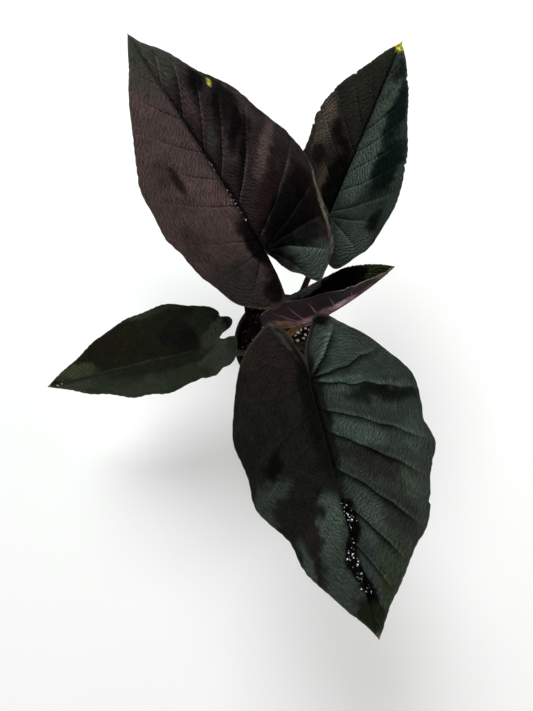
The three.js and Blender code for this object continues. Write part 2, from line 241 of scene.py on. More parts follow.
# The pot: a thin-walled black nursery pot, moulded in one piece from polypropylene. Its rim is a wider
# band with a rolled lip, and water drains through six holes in its floor.
POT_RIM, POT_BASE, POT_HEIGHT = 38, 27, 66
POT_WALL, POT_FLOOR = 1.3, 1.8
BAND_HEIGHT, BAND_STEP = 9, 1.2
SHOULDER_INSET = 0.4
SHOULDER = POT_HEIGHT - BAND_HEIGHT


def pot_radius(height):
    """The radius of the pot's outer wall at a height below its band."""
    taper = (POT_RIM - BAND_STEP - SHOULDER_INSET - POT_BASE) / SHOULDER
    return POT_BASE + taper * height


def turned(profile, steps=96):
    """A bmesh spun about Z from [radius, height] points; where it starts and ends on the axis it closes."""
    shape = bmesh.new()
    line = [shape.verts.new((radius, 0, z)) for radius, z in profile]
    edges = [shape.edges.new(pair) for pair in zip(line, line[1:])]
    bmesh.ops.spin(shape, geom=[*line, *edges], cent=(0, 0, 0), axis=(0, 0, 1),
                   angle=2 * math.pi, steps=steps, use_merge=True)
    bmesh.ops.remove_doubles(shape, verts=shape.verts, dist=1e-4)
    bmesh.ops.recalc_face_normals(shape, faces=shape.faces)
    return shape


pot_profile = [
    (0, 0), (POT_BASE - 2.2, 0), (POT_BASE - 1.2, 0.1), (POT_BASE - 0.4, 0.5), (pot_radius(1.8) - 0.1, 1.4),
    (pot_radius(2.6), 2.6),
]
pot_profile += [(pot_radius(z), z) for z in (8, 16, 24, 32, 40, 48)]
pot_profile += [
    (pot_radius(SHOULDER - 0.8), SHOULDER - 0.8), (pot_radius(SHOULDER) + 0.15, SHOULDER - 0.1),
    (pot_radius(SHOULDER) + BAND_STEP - 0.5, SHOULDER + 0.2),
    (pot_radius(SHOULDER) + BAND_STEP - 0.15, SHOULDER + 0.8),
    (POT_RIM - 0.75, POT_HEIGHT - 4), (POT_RIM - 0.6, POT_HEIGHT - 2.4), (POT_RIM - 0.15, POT_HEIGHT - 2),
    (POT_RIM, POT_HEIGHT - 1.4), (POT_RIM - 0.05, POT_HEIGHT - 0.6), (POT_RIM - 0.4, POT_HEIGHT - 0.1),
    (POT_RIM - 0.9, POT_HEIGHT), (POT_RIM - POT_WALL - 0.2, POT_HEIGHT - 0.25),
    (POT_RIM - POT_WALL - 0.5, POT_HEIGHT - 0.9),
    (pot_radius(SHOULDER) + BAND_STEP - POT_WALL, SHOULDER + 1.8),
    (pot_radius(SHOULDER) - POT_WALL, SHOULDER + 0.5),
]
pot_profile += [(pot_radius(z) - POT_WALL, z) for z in (44, 30, 16)]
pot_profile += [(pot_radius(POT_FLOOR) - POT_WALL, POT_FLOOR + 0.9),
                (pot_radius(POT_FLOOR) - POT_WALL - 1, POT_FLOOR), (0, POT_FLOOR)]
pot_shape = turned(pot_profile)

plastic = Finish("pot_plastic")
pot_place = plastic.place()
pot_mottle = plastic.grain(pot_place, 60.0, 4.0)
pot_pits = plastic.grain(pot_place, 900.0, 2.0)
pot_scuffs = plastic.grain(plastic.stretched(pot_place, (40.0, 40.0, 400.0)), 3.0, 5.0, 0.7)
pot_dust = pot_scuffs.fade(0.56, 0.75)
plastic.body(
    Base_Color=plastic.mix(
        plastic.mix((0.004, 0.004, 0.004, 1), (0.008, 0.008, 0.008, 1), pot_mottle),
        (0.03, 0.027, 0.024, 1), pot_dust * 0.4),
    Roughness=0.4 + pot_dust * 0.25 + pot_mottle * 0.1,
    Specular_IOR_Level=0.22,
    Normal=plastic.bump(pot_pits, 0.00004),
)
pot = add_piece("pot_shell", pot_shape, [plastic.owner], "pot_plastic", "pot")

DRAIN_HOLES, DRAIN_RADIUS, DRAIN_RING = 6, 3.2, 19
drill_shape = bmesh.new()
for number in range(DRAIN_HOLES):
    turn = 2 * math.pi * (number + 0.5) / DRAIN_HOLES
    at = Matrix.Translation((DRAIN_RING * math.cos(turn), DRAIN_RING * math.sin(turn), 0))
    bmesh.ops.create_cone(drill_shape, cap_ends=True, segments=28, radius1=DRAIN_RADIUS,
                          radius2=DRAIN_RADIUS, depth=4 * POT_FLOOR, matrix=at)
drill = placed("drain_drill", mesh_of("drain_drill", drill_shape))
cut = pot.modifiers.new("drain_holes", "BOOLEAN")
cut.object = drill
cut.solver = "EXACT"
bored = bpy.data.meshes.new_from_object(pot.evaluated_get(bpy.context.evaluated_depsgraph_get()))
pot.modifiers.clear()
pot.data = bored
bpy.data.objects.remove(drill)

# The soil: dark damp potting mix. Its top is uneven, and crumbs of peat and bark lie on it among white
# perlite, which is puffed volcanic glass. Pieces are pressed into the top at random from a fixed seed.
SOIL_TOP, SOIL_UNEVEN, SOIL_RINGS = 57.5, 0.9, 44
CROWN_AT = Vector((-2, -1, 0))
CROWN_RADIUS = 11.5
GAP = 0.3


def soil_height(x, y):
    """How high the soil's top stands at x, y."""
    broad = math.sin(0.21 * x + 0.6) * math.cos(0.17 * y - 0.4)
    fine = 0.6 * math.sin(0.53 * x - 0.37 * y) + 0.4 * math.cos(0.71 * y + 0.2 * x)
    return SOIL_TOP + SOIL_UNEVEN * (broad + fine)


soil_edge = pot_radius(SOIL_TOP) - POT_WALL - GAP - 0.6
soil_profile = [(0, POT_FLOOR + GAP), (pot_radius(POT_FLOOR) - POT_WALL - GAP - 1.2, POT_FLOOR + GAP),
                (pot_radius(POT_FLOOR) - POT_WALL - GAP, POT_FLOOR + 1.4),
                (pot_radius(SOIL_TOP) - POT_WALL - GAP - 0.4, SOIL_TOP - 2.5)]
soil_profile += [(soil_edge * (1 - ring / SOIL_RINGS), SOIL_TOP) for ring in range(SOIL_RINGS + 1)]
soil_shape = turned(soil_profile, 144)
for vert in soil_shape.verts:
    if vert.co.z > SOIL_TOP - 0.1:
        clods = noise.fractal(vert.co * 0.55, 0.6, 2.2, 4)
        vert.co.z = soil_height(vert.co.x, vert.co.y) + SOIL_UNEVEN * clods

potting = Finish("potting_soil")
soil_place = potting.place()
soil_clods = potting.grain(soil_place, 260.0, 6.0, 0.65)
soil_grit = potting.grain(soil_place, 1400.0, 4.0, 0.7)
potting.body(
    Base_Color=potting.make("ShaderNodeValToRGB", {"stops": [
        (0.3, (0.0012, 0.0009, 0.0008, 1)), (0.55, (0.004, 0.0026, 0.002, 1)),
        (0.72, (0.014, 0.008, 0.005, 1))]}, soil_clods * 0.6 + soil_grit * 0.4),
    Roughness=soil_clods.fade(0.3, 0.7) * 0.4 + 0.5,
    Specular_IOR_Level=0.06,
    Normal=potting.bump(soil_clods * 0.7 + soil_grit * 0.3, 0.0009),
)
add_piece("soil_body", soil_shape, [potting.owner], "potting_soil", "soil")


def lump(shape, dice, x, y, radius, squash, sunk, subdivisions, rough):
    """One crumpled grain on the soil."""
    made = bmesh.ops.create_icosphere(shape, subdivisions=subdivisions, radius=radius)["verts"]
    seed = Vector((dice.random(), dice.random(), dice.random())) * 90
    for vert in made:
        vert.co *= 1 + rough * noise.noise(vert.co * (1.1 / radius) + seed)
    tumble = Matrix.Rotation(6.3 * dice.random(), 3, (dice.random(), dice.random(), 0.1))
    bmesh.ops.scale(shape, verts=made, vec=(1, 0.6 + 0.4 * dice.random(), squash))
    bmesh.ops.rotate(shape, verts=made, cent=(0, 0, 0), matrix=tumble)
    bmesh.ops.translate(shape, verts=made, vec=(x, y, soil_height(x, y) + sunk * radius))


def scattered(shape, dice, count, smallest, largest, inner, squash, sunk, subdivisions, rough):
    """Lumps lying at random on the soil between the crown and the pot's wall."""
    between_sizes = (smallest + largest) / 2
    for _ in range(count):
        radius = smallest + (largest - smallest) * dice.random() ** 2
        reach = math.sqrt(inner ** 2 + dice.random() * ((soil_edge - largest) ** 2 - inner ** 2))
        turn = 2 * math.pi * dice.random()
        x, y = reach * math.cos(turn), reach * math.sin(turn)
        if (Vector((x, y, 0)) - CROWN_AT).length < inner:
            continue
        finer = subdivisions if radius > between_sizes else 1
        lump(shape, dice, x, y, radius, squash, sunk, finer, rough)


# Perlite grains that show in the gaps between the leaves, placed one by one: x, y and radius.
GRAINS_IN_GAP = [
    (11.7, 8.3, 1.7), (9.7, 5.9, 1.1), (7.9, 6.9, 0.8), (14.4, 10.4, 1.1), (18, 11.5, 1.1),
    (18, 6.5, 1.2), (16.4, 3.9, 1.2), (11.6, 2.3, 1.6), (20.4, 10.6, 0.8), (-24, 21.5, 1.2),
]
SOIL_SEED = 71
dice = random.Random(SOIL_SEED)
perlite_shape = bmesh.new()
scattered(perlite_shape, dice, count=130, smallest=0.4, largest=1.2, inner=CROWN_RADIUS + 1.5,
          squash=0.8, sunk=0.35, subdivisions=2, rough=0.5)
for x, y, radius in GRAINS_IN_GAP:
    lump(perlite_shape, dice, x, y, radius, squash=0.8, sunk=0.4, subdivisions=2, rough=0.5)
perlite = Finish("perlite")
grain_place = perlite.place()
grain_tint = perlite.grain(grain_place, 90.0, 1.0)
grain_stain = perlite.grain(grain_place, 700.0, 4.0, 0.7)
perlite.body(
    Base_Color=perlite.mix(
        perlite.mix((0.2, 0.14, 0.085, 1), (0.42, 0.39, 0.33, 1), grain_tint.fade(0.4, 0.6)),
        (0.12, 0.075, 0.045, 1), grain_stain.fade(0.52, 0.7) * 0.8),
    Roughness=0.85,
    Normal=perlite.bump(grain_stain, 0.0003),
)
add_piece("perlite_grains", perlite_shape, [perlite.owner], "potting_soil")

crumb_shape = bmesh.new()
scattered(crumb_shape, dice, count=700, smallest=0.4, largest=1.5, inner=CROWN_RADIUS + 0.6,
          squash=0.75, sunk=0.3, subdivisions=1, rough=0.7)
add_piece("soil_crumbs", crumb_shape, [potting.owner], "potting_soil")

bark_shape = bmesh.new()
scattered(bark_shape, dice, count=70, smallest=1.2, largest=3.0, inner=CROWN_RADIUS + 3.5,
          squash=0.28, sunk=0.3, subdivisions=2, rough=0.5)
bark = Finish("bark_chips")
bark_fibre = bark.grain(bark.stretched(bark.place(), (1.0, 5.0, 5.0)), 260.0, 5.0)
bark.body(
    Base_Color=bark.mix((0.006, 0.0035, 0.0025, 1), (0.035, 0.018, 0.011, 1), bark_fibre.fade(0.35, 0.7)),
    Roughness=0.8,
    Specular_IOR_Level=0.1,
    Normal=bark.bump(bark_fibre, 0.0005),
)
add_piece("bark_chips", bark_shape, [bark.owner], "potting_soil")

# The crown: a stub of brown root stock with the rings of old leaf bases, half sunk in the soil. Every
# stalk grows out of its top.
CROWN_BOTTOM, CROWN_WAIST, CROWN_WIDEST, CROWN_TOP = 35, 44, 55, 63.5
CROWN_STEPS = 24
crown_profile = [(0, CROWN_BOTTOM), (0.62 * CROWN_RADIUS, CROWN_BOTTOM),
                 (0.86 * CROWN_RADIUS, CROWN_WAIST), (CROWN_RADIUS, CROWN_WIDEST)]
for step in range(1, CROWN_STEPS):
    rise = step / CROWN_STEPS
    bulge = math.cos(0.5 * math.pi * rise ** 1.6) ** 0.55
    ring = 0.35 * abs(math.sin(4.5 * math.pi * rise))
    crown_profile.append((CROWN_RADIUS * bulge - ring, CROWN_WIDEST + (CROWN_TOP - CROWN_WIDEST) * rise))
crown_profile.append((0, CROWN_TOP))
crown_shape = turned(crown_profile, 80)
for vert in crown_shape.verts:
    vert.co.z += 0.5 * noise.noise(vert.co * 0.25)
    vert.co *= 1 + 0.012 * noise.fractal(vert.co * 0.6, 0.8, 2, 3)
bmesh.ops.translate(crown_shape, verts=crown_shape.verts, vec=CROWN_AT)
root_stock = Finish("root_stock")
crown_place = root_stock.place()
crown_rings = root_stock.grain(root_stock.stretched(crown_place, (60.0, 60.0, 900.0)), 1.0, 4.0)
crown_dirt = root_stock.grain(crown_place, 220.0, 5.0)
root_stock.body(
    Base_Color=root_stock.mix(
        root_stock.mix((0.03, 0.016, 0.01, 1), (0.1, 0.058, 0.034, 1), crown_rings.fade(0.35, 0.7)),
        (0.006, 0.004, 0.003, 1), crown_dirt.fade(0.45, 0.6)),
    Roughness=0.8,
    Normal=root_stock.bump(crown_rings * 0.6 + crown_dirt * 0.4, 0.0006),
)
add_piece("crown_stock", crown_shape, [root_stock.owner], "root_stock", "crown")

# The leaves: five leathery arrow-shaped blades with a dark velvet skin above and a purple one below. Each
# is bent out of its flat outline: p runs along the midrib from the stalk to the tip, below zero in the
# two lobes behind the stalk, and q runs out from the midrib. Angles are in degrees, lengths in mm.

# rise is each half's slope beside the midrib at the lobes' end, the stalk and the tip, curl its bend over
# half_width. roots are where side veins leave the midrib, lobe_veins and veins where they meet the margin,
# as shares of its length. pleat is how far the sheet swells between veins, lean how far the swelling is
# pushed to the next vein, painted_flank_light how strongly light and shade are painted into the skin's
# colour on its flanks, a painted highlight before each vein and a painted shade after it, lee how wide
# that painted shade is, and faint how much the veins are hidden. nicks are place and depth, scallops
# start, end, count and depth. skin and the washes over it are colours: p, q, length, width, colour and
# sometimes a slant. They are partly the leaf's own colour and partly painted sheen: a blade's two halves
# and its lighter washes differ in part by the sheen the velvet throws back, and the young leaf's pale
# wash along its far margin and the pale bands on its underside are painted highlights.
LEAVES = {
    "back_left": dict(
        at=(-14, 51, 186), heading=122.5, pitch=4, droop=-30, lobe_droop=13, roll=4, sweep=-5.5,
        length=170, lobe=33, half_width=60, wave=1.3, waves=5, wave_phase=0.5,
        roots=(7, 29, 47, 66, 90, 118, 144),
        left=dict(
            rise=(10, 10, 10), curl=-20, pleat=0.4, painted_flank_light=0.08, lobe_veins=(0.1, 0.2, 0.3),
            veins=(0.43, 0.54, 0.63, 0.71, 0.8, 0.88, 0.95),
            outline=[
                (-3, 0), (-12, 1), (-22, 2), (-32, 5), (-33, 11), (-25, 23), (-17, 31), (-6, 35), (8, 40),
                (22, 42), (33, 45), (49, 44), (64, 43), (80, 37), (108, 26), (142, 11), (170, 0),
            ],
            skin=(60, 47, 46),
            washes=[
                (-14, 25, 21, 15, (41, 36, 33)), (-26, 6, 12, 7, (16, 13, 11)), (5, 2, 16, 6, (13, 11, 11)),
                (44, 12, 22, 9, (67, 52, 50)), (58, 22.5, 9, 2.2, (32, 24, 24), 0),
                (66, 28, 8, 4, (50, 40, 38), 0), (22, 33, 12, 6, (52, 41, 39)),
                (128, 8, 18, 8, (48, 43, 40)), (158, 4, 20, 12, (36, 41, 32)),
            ],
        ),
        right=dict(
            rise=(16, 18, 20), curl=-50, pleat=1.5, painted_flank_light=0.55, lee=7, lean=1.6,
            lobe_veins=(0.12, 0.21, 0.3, 0.39), veins=(0.49, 0.63, 0.71, 0.775, 0.84, 0.9, 0.955),
            outline=[
                (-3, 0), (-10, 3), (-18, 6), (-23, 11), (-26, 13), (-32, 18), (-29, 24), (-20, 35), (-8, 41),
                (9, 46), (27, 51), (41, 50), (60, 46.5), (76, 40), (91, 34), (114, 22.5), (136, 13),
                (156, 4), (170, 0),
            ],
            skin=(39, 32, 31),
            washes=[
                (-6, 14, 8, 16, (25, 28, 26)), (-20, 22, 10, 13, (46, 56, 49)),
                (6, 14, 11, 14, (9, 9, 9), 0.6), (12, 33, 15, 13, (12, 11, 11), 0.3),
                (30, 20, 7, 16, (35, 25, 26), 1.1), (50, 32, 5, 14, (63, 50, 48), 1.1),
                (59, 24, 3.5, 13, (22, 18, 18), 1.3), (57, 13, 6, 4, (54, 42, 41), 1),
                (70, 24, 5, 11, (14, 13, 13), 1.2), (70, 10, 5, 6, (41, 41, 35), 1),
                (86, 25, 10, 8, (18, 17, 16), 1), (92, 8, 14, 3.5, (53, 41, 40), 0.9),
                (84, 35, 18, 4, (46, 39, 36), 0), (10, 41, 22, 4, (20, 16, 14), 0.3),
                # The dark line along the midrib at p 46 is painted shade in the midrib's groove.
                (4.6, 43, 2.7, 9, (90, 82, 72), 2.9), (46, 0, 58, 2.1, (12, 10, 11), 0),
                (107, 18, 8, 4.5, (12, 12, 12), 0.5), (100, 24.5, 2.3, 1.3, (190, 182, 50), 0),
                (134, 8, 20, 12, (45, 44, 38)), (158, 4, 16, 10, (40, 44, 34)),
            ],
        ),
    ),
    "back_right": dict(
        at=(26, 77, 154), heading=67, pitch=6, droop=-24, lobe_droop=13, roll=-2, sweep=1,
        length=128, lobe=28, half_width=50, wave=1.2, waves=6, wave_phase=2,
        roots=(4, 17, 29, 43, 58, 76, 97),
        left=dict(
            rise=(30, 30, 30), curl=-6, pleat=0.6, painted_flank_light=0.15, lobe_veins=(0.12, 0.22, 0.33),
            veins=(0.44, 0.52, 0.59, 0.67, 0.75, 0.83, 0.91),
            outline=[
                (-11, 0), (-19, 3), (-25, 8), (-27, 15), (-23, 24), (-12, 30), (4, 33), (24, 33), (39, 33),
                (51, 34), (65, 31), (78, 25.5), (94, 17), (112, 8.5), (128, 0),
            ],
            nicks=[(0.753, 1.3), (0.645, 1.0), (0.573, 1.5), (0.532, 1.3)],
            skin=(34, 33, 28),
            washes=[
                (-12, 14, 14, 16, (9, 10, 9)), (16, 15, 10, 5, (54, 44, 37), 0.3),
                (18, 5, 24, 7, (13, 12, 11)), (48, 27, 16, 6, (61, 53, 44), 0.2),
                (46, 15, 6, 8, (20, 17, 15)), (30, 23, 5, 4, (24, 19, 17)), (80, 12, 16, 6, (34, 34, 28)),
                (112, 3, 10, 8, (29, 34, 26)), (126, 0, 6, 7, (196, 186, 58)),
            ],
        ),
        right=dict(
            rise=(28, 28, 28), curl=-14, pleat=0.7, painted_flank_light=0.25, lobe_veins=(0.12, 0.22, 0.34),
            veins=(0.45, 0.54, 0.62, 0.69, 0.76, 0.84, 0.92),
            outline=[
                (-11, 0), (-19, 5), (-25, 10), (-27, 18), (-22, 24), (-17, 27), (-9, 32.5), (4, 36),
                (14, 37.5), (30, 36.5), (48, 32.5), (66, 25.5), (90, 17), (112, 8), (128, 0),
            ],
            nicks=[(0.823, 1.0), (0.52, 1.3)],
            skin=(33, 41, 35),
            washes=[
                (36, 9, 24, 8, (50, 62, 53)), (78, 7, 26, 5, (42, 52, 44)), (-6, 22, 14, 10, (46, 53, 46)),
                (38, 24, 17, 7, (9, 18, 16), 0.3), (72, 16.5, 22, 5, (11, 21, 20), -0.2),
                (8, 30, 7, 5, (13, 19, 15)), (24, 34, 18, 3, (36, 44, 38), 0), (104, 8, 9, 5, (20, 24, 20)),
                (-16, 4, 8, 4, (26, 25, 22)), (126, 0, 6, 7, (196, 186, 58)),
            ],
        ),
    ),
    "young": dict(
        at=(12, 11.8, 130), heading=20, pitch=42, droop=-12, lobe_droop=24, roll=0, sweep=12,
        length=73, lobe=26, half_width=24, wave=0.5, waves=5, wave_phase=1,
        roots=(4, 15, 28, 42, 56),
        left=dict(
            rise=(20, 10, 6), curl=-10, pleat=0.5, painted_flank_light=0.1, lobe_veins=(0.12, 0.22, 0.32),
            veins=(0.43, 0.55, 0.67, 0.78, 0.88),
            outline=[
                (-8, 0), (-14, 3), (-21, 8), (-24, 14), (-19, 19), (-6, 20.5), (12, 21), (30, 20.5),
                (44, 18.5), (57, 12.5), (67, 5.5), (73, 0),
            ],
            skin=(4, 3, 3),
            washes=[
                # The grey wash along the far margin at p 8 is a painted highlight, the sheen there.
                (-12, 8, 10, 8, (30, 21, 22)), (8, 20.5, 22, 4, (106, 103, 105)),
                (64, 6, 11, 20, (27, 35, 9)),
            ],
        ),
        right=dict(
            rise=(124, 126, 98), curl=12, pleat=0.5, painted_flank_light=0.1, lobe_veins=(0.12, 0.24, 0.34),
            veins=(0.45, 0.57, 0.68, 0.79, 0.89),
            outline=[
                (-8, 0), (-15, 2), (-23, 6), (-26, 13), (-20, 21), (-6, 25), (12, 24), (30, 20), (44, 15),
                (56, 9), (66, 4), (73, 0),
            ],
            skin=(6, 5, 4),
            washes=[(64, 6, 11, 12, (27, 35, 9))],
            under=(33, 19, 24),
            under_washes=[
                # The two pale bands along the midrib are painted highlights.
                (20, 0, 36, 4, (128, 103, 108), 0), (34, 1, 9, 3, (158, 138, 142), 0),
                (-14, 6, 12, 7, (88, 68, 60)), (34, 13, 16, 6, (17, 8, 13)), (4, 15, 10, 7, (33, 19, 23)),
                (70, 3, 8, 8, (90, 78, 66)),
            ],
        ),
    ),
    "low_left": dict(
        at=(-60, -6.5, 110), heading=193.5, pitch=6, droop=-28, lobe_droop=17, lobe_sweep=-11, roll=4,
        sweep=-2, length=117, lobe=30, half_width=45, wave=1.0, waves=6, wave_phase=0,
        roots=(3, 14, 28, 44, 62, 82, 101),
        left=dict(
            rise=(-34, -34, -34), curl=-24, pleat=0.22, painted_flank_light=0.03, faint=0.5, lobe_veins=(0.1, 0.22, 0.31),
            veins=(0.38, 0.46, 0.55, 0.65, 0.74, 0.84, 0.92),
            outline=[
                (-16, 0), (-20, 3), (-25, 4), (-30, 8), (-31, 16), (-29, 25), (-24, 28), (-18, 28), (-11, 30),
                (-4, 26), (2, 23), (8, 25), (20, 29), (34, 30), (54, 28), (67, 23), (81, 17.5), (101, 7.5),
                (117, 0),
            ],
            scallops=(0.5, 0.93, 15, 0.55),
            skin=(33, 43, 24),
            washes=[
                (-10, 6, 13, 9, (48, 58, 40)), (-16, 22, 12, 9, (42, 50, 37)), (30, 4, 34, 5, (30, 34, 23)),
                (96, 4, 14, 7, (46, 50, 26)), (50, 20, 20, 8, (37, 48, 28)),
                (54, 0, 60, 1.5, (39, 42, 30), 0), (116, 0, 4, 5, (92, 64, 34)),
            ],
        ),
        right=dict(
            rise=(4, 4, 4), curl=-20, pleat=0.2, painted_flank_light=0.03, faint=0.5, lobe_veins=(0.1, 0.2, 0.31),
            veins=(0.44, 0.53, 0.6, 0.68, 0.76, 0.85, 0.93),
            outline=[
                (-16, 0), (-21, 3), (-26, 3), (-28, 6), (-26, 10), (-20, 14), (-20, 17), (-15, 23), (-8, 28),
                (-1, 33), (16, 38), (35, 36), (52, 32), (67, 26), (80, 19), (95, 11), (108, 5), (117, 0),
            ],
            skin=(26, 28, 18),
            washes=[
                (-12, 5, 12, 8, (48, 57, 40)), (-6, 20, 12, 8, (34, 38, 27)), (12, 12, 12, 7, (22, 23, 21)),
                (56, 18, 14, 6, (29, 26, 18)), (92, 5, 16, 6, (45, 50, 27)), (40, 35, 34, 3, (36, 40, 24)),
                (54, 0, 60, 1.5, (39, 42, 30), 0), (116, 0, 4, 5, (92, 64, 34)),
            ],
        ),
    ),
    "front": dict(
        at=(11, -22.5, 204), heading=284.5, pitch=2, droop=-28, lobe_droop=8, roll=0, sweep=3,
        length=169, lobe=34, half_width=60, wave=1.5, waves=6, wave_phase=1,
        roots=(2, 17, 29, 50, 71, 95, 122, 148),
        left=dict(
            rise=(12, 12, 12), curl=-26, pleat=2.0, painted_flank_light=0.8, lee=3.2, lean=2.6, lobe_veins=(0.14, 0.25),
            veins=(0.37, 0.49, 0.57, 0.68, 0.77, 0.85, 0.92, 0.97),
            outline=[
                (-13, 0), (-20, 3), (-27, 7), (-34, 12), (-32, 17), (-25, 24), (-16, 35), (-5, 44), (11, 54),
                (25, 56), (37, 55), (50, 57), (65, 52), (79, 48), (96, 41), (112, 30), (127, 20), (148, 9),
                (169, 0),
            ],
            nicks=[(0.435, 1.2), (0.527, 0.9), (0.615, 1.3)],
            skin=(40, 48, 42),
            washes=[
                (-33, 14, 6, 6, (13, 12, 9)), (-22, 4, 4, 6, (32, 29, 25), -1.4),
                (-12, 16, 12, 12, (42, 53, 46)), (9, 26, 4, 22, (54, 67, 58), 0.3),
                (17, 36, 4, 18, (20, 25, 21), 0.25), (31, 18, 7, 14, (50, 62, 54), 0.6),
                (42, 44, 7, 7, (48, 60, 52)), (52, 22, 9, 18, (35, 35, 31), 0.7),
                (66, 40, 9, 8, (46, 54, 44)), (84, 30, 16, 8, (37, 41, 33)), (84, 13, 16, 7, (48, 57, 49)),
                (112, 20, 16, 9, (38, 46, 34)), (132, 12, 16, 4, (34, 45, 20), -0.4),
                (153, 5, 12, 8, (21, 31, 8)), (20, 2, 40, 3, (22, 25, 21), 0),
                (168, 0, 5, 6, (122, 74, 24)),
            ],
        ),
        right=dict(
            rise=(12, 12, 12), curl=-26, pleat=0.5, painted_flank_light=0.12, faint=0.3, lobe_veins=(0.1, 0.19, 0.27),
            veins=(0.36, 0.47, 0.55, 0.65, 0.74, 0.83, 0.9, 0.96),
            outline=[
                (-13, 0), (-21, 4), (-30, 8), (-35, 14), (-32, 20), (-22, 31), (-9, 39), (10, 46), (24, 49),
                (45, 47), (60, 47), (73, 41), (86, 34), (102, 31), (117, 25), (135, 15), (155, 5), (169, 0),
            ],
            skin=(27, 28, 25),
            washes=[
                (-18, 22, 22, 22, (34, 29, 26)), (-25, 9.5, 2.8, 6, (40, 44, 39), -2.2),
                (16, 2, 36, 6, (18, 18, 16)), (40, 31, 6, 5, (13, 13, 12)), (56, 34, 7, 8, (38, 47, 40)),
                (64, 43, 14, 5, (38, 46, 39)), (80, 9, 15, 8, (58, 71, 61)), (92, 13, 10, 6, (50, 61, 52)),
                (88, 24, 12, 5, (34, 31, 27), 0.4), (116, 10, 22, 12, (41, 51, 42)),
                (104, 28, 18, 3, (44, 54, 47), 0), (153, 3, 12, 8, (18, 29, 9)),
                (168, 0, 5, 6, (122, 74, 24)),
            ],
        ),
    ),
}
BLADE_THICKNESS = 0.9
MARGIN_SHARE = 0.6
SATURATION = 1.3
VEIN_BEND = 0.38
STEPS_BETWEEN_VEINS = 22
STEPS_ACROSS = 40
CURVE_STEPS = 24
FLAT_SPAN, FLAT_AT = 200.0, (0.25, 0.5)
VEIN_SPAN, MARGIN_SPAN = 20.0, 80.0
WET_TRACK = [(69, 1.8), (79, 2.2), (88, 3), (97, -1.8), (106, -4.4), (114, -2.4), (122, 0.6), (132, 2.8)]


def between(low, high, share):
    return low + (high - low) * share


def smooth(low, high, value):
    share = min(max((value - low) / (high - low), 0), 1)
    return share * share * (3 - 2 * share)


def interpolated(places, values, at):
    """The value at a place, on straight lines between given places."""
    for (start, here), (end, there) in zip(zip(places, values), zip(places[1:], values[1:])):
        if at <= end:
            return between(here, there, (at - start) / (end - start)) if end > start else there
    return values[-1]


def bent_walk(distance, slope, bend):
    """How far along and up a walk comes that starts at a slope and bends by bend for each millimetre."""
    if abs(bend) < 1e-9:
        return distance * math.cos(slope), distance * math.sin(slope)
    end = slope + bend * distance
    return (math.sin(end) - math.sin(slope)) / bend, (math.cos(slope) - math.cos(end)) / bend


def blade_point(leaf, side, p, q, lift=0):
    """Where the flat point p, q of a half goes, raised by lift from the bent sheet."""
    half = leaf["left"] if side > 0 else leaf["right"]
    pitch = math.radians(leaf["pitch"])
    if p >= 0:
        bend = math.radians(leaf["droop"]) / leaf["length"]
        swept = leaf["sweep"] * (p / leaf["length"]) ** 2
        rise = between(half["rise"][1], half["rise"][2], min(p / leaf["length"], 1))
    else:
        bend = -math.radians(leaf["lobe_droop"]) / leaf["lobe"]
        swept = leaf.get("lobe_sweep", 0) * -p / leaf["lobe"]
        rise = between(half["rise"][1], half["rise"][0], min(-p / leaf["lobe"], 1))
    along, up = bent_walk(p, pitch, bend)
    slope = pitch + bend * p
    curl = math.radians(half["curl"]) / leaf["half_width"]
    out, high = bent_walk(q, math.radians(rise), curl)
    tilt = math.radians(rise) + curl * q
    out -= lift * math.sin(tilt)
    high += lift * math.cos(tilt)
    point = Vector((along - high * math.sin(slope), side * out + swept, up + high * math.cos(slope)))
    point.rotate(Matrix.Rotation(math.radians(leaf["roll"]), 3, "X"))
    point.rotate(Matrix.Rotation(math.radians(leaf["heading"]), 3, "Z"))
    return point + Vector(leaf["at"])


def even_outline(points, count=400):
    """Evenly spaced points on a smooth curve through the outline's points."""
    ends = [Vector(point) for point in points]
    ends = [2 * ends[0] - ends[1], *ends, 2 * ends[-1] - ends[-2]]
    fine = []
    for a, b, c, d in zip(ends, ends[1:], ends[2:], ends[3:]):
        ab, bc, cd = (math.sqrt((v - u).length) for u, v in ((a, b), (b, c), (c, d)))
        into = ((b - a) / ab - (c - a) / (ab + bc) + (c - b) / bc) * bc
        away = ((c - b) / bc - (d - b) / (bc + cd) + (d - c) / cd) * bc
        for step in range(CURVE_STEPS):
            s = step / CURVE_STEPS
            fine.append(b + into * s + (3 * (c - b) - 2 * into - away) * s ** 2
                        + (2 * (b - c) + into + away) * s ** 3)
    fine.append(ends[-2])
    walked = [0]
    for here, there in zip(fine, fine[1:]):
        walked.append(walked[-1] + (there - here).length)
    even = []
    segment = 0
    for number in range(count + 1):
        goal = walked[-1] * number / count
        while segment < len(fine) - 2 and walked[segment + 1] < goal:
            segment += 1
        share = (goal - walked[segment]) / (walked[segment + 1] - walked[segment])
        even.append(fine[segment].lerp(fine[segment + 1], min(share, 1)))
    return even, walked[-1]


def margin_point(leaf, side, half, line, t):
    """The margin at a share t of its length, with its nicks and scallops."""
    place = min(t * (len(line) - 1), len(line) - 1.001)
    point = line[int(place)].lerp(line[int(place) + 1], place % 1)
    bite = sum(depth * max(1 - abs(t - at) / 0.008, 0) for at, depth in half.get("nicks", ()))
    start, end, count, depth = half.get("scallops", (0.4, 0.9, 21, 0.22))
    if start < t < end:
        bite += depth * abs(math.cos(math.pi * count * (t - start) / (end - start))) ** 6
    rag = noise.noise(Vector((t * 60, side * 7, leaf["length"]))) * 0.35
    inward = min(point.y, 1 if point.y > 4 else 0)
    return Vector((point.x, point.y - inward * (bite - rag)))


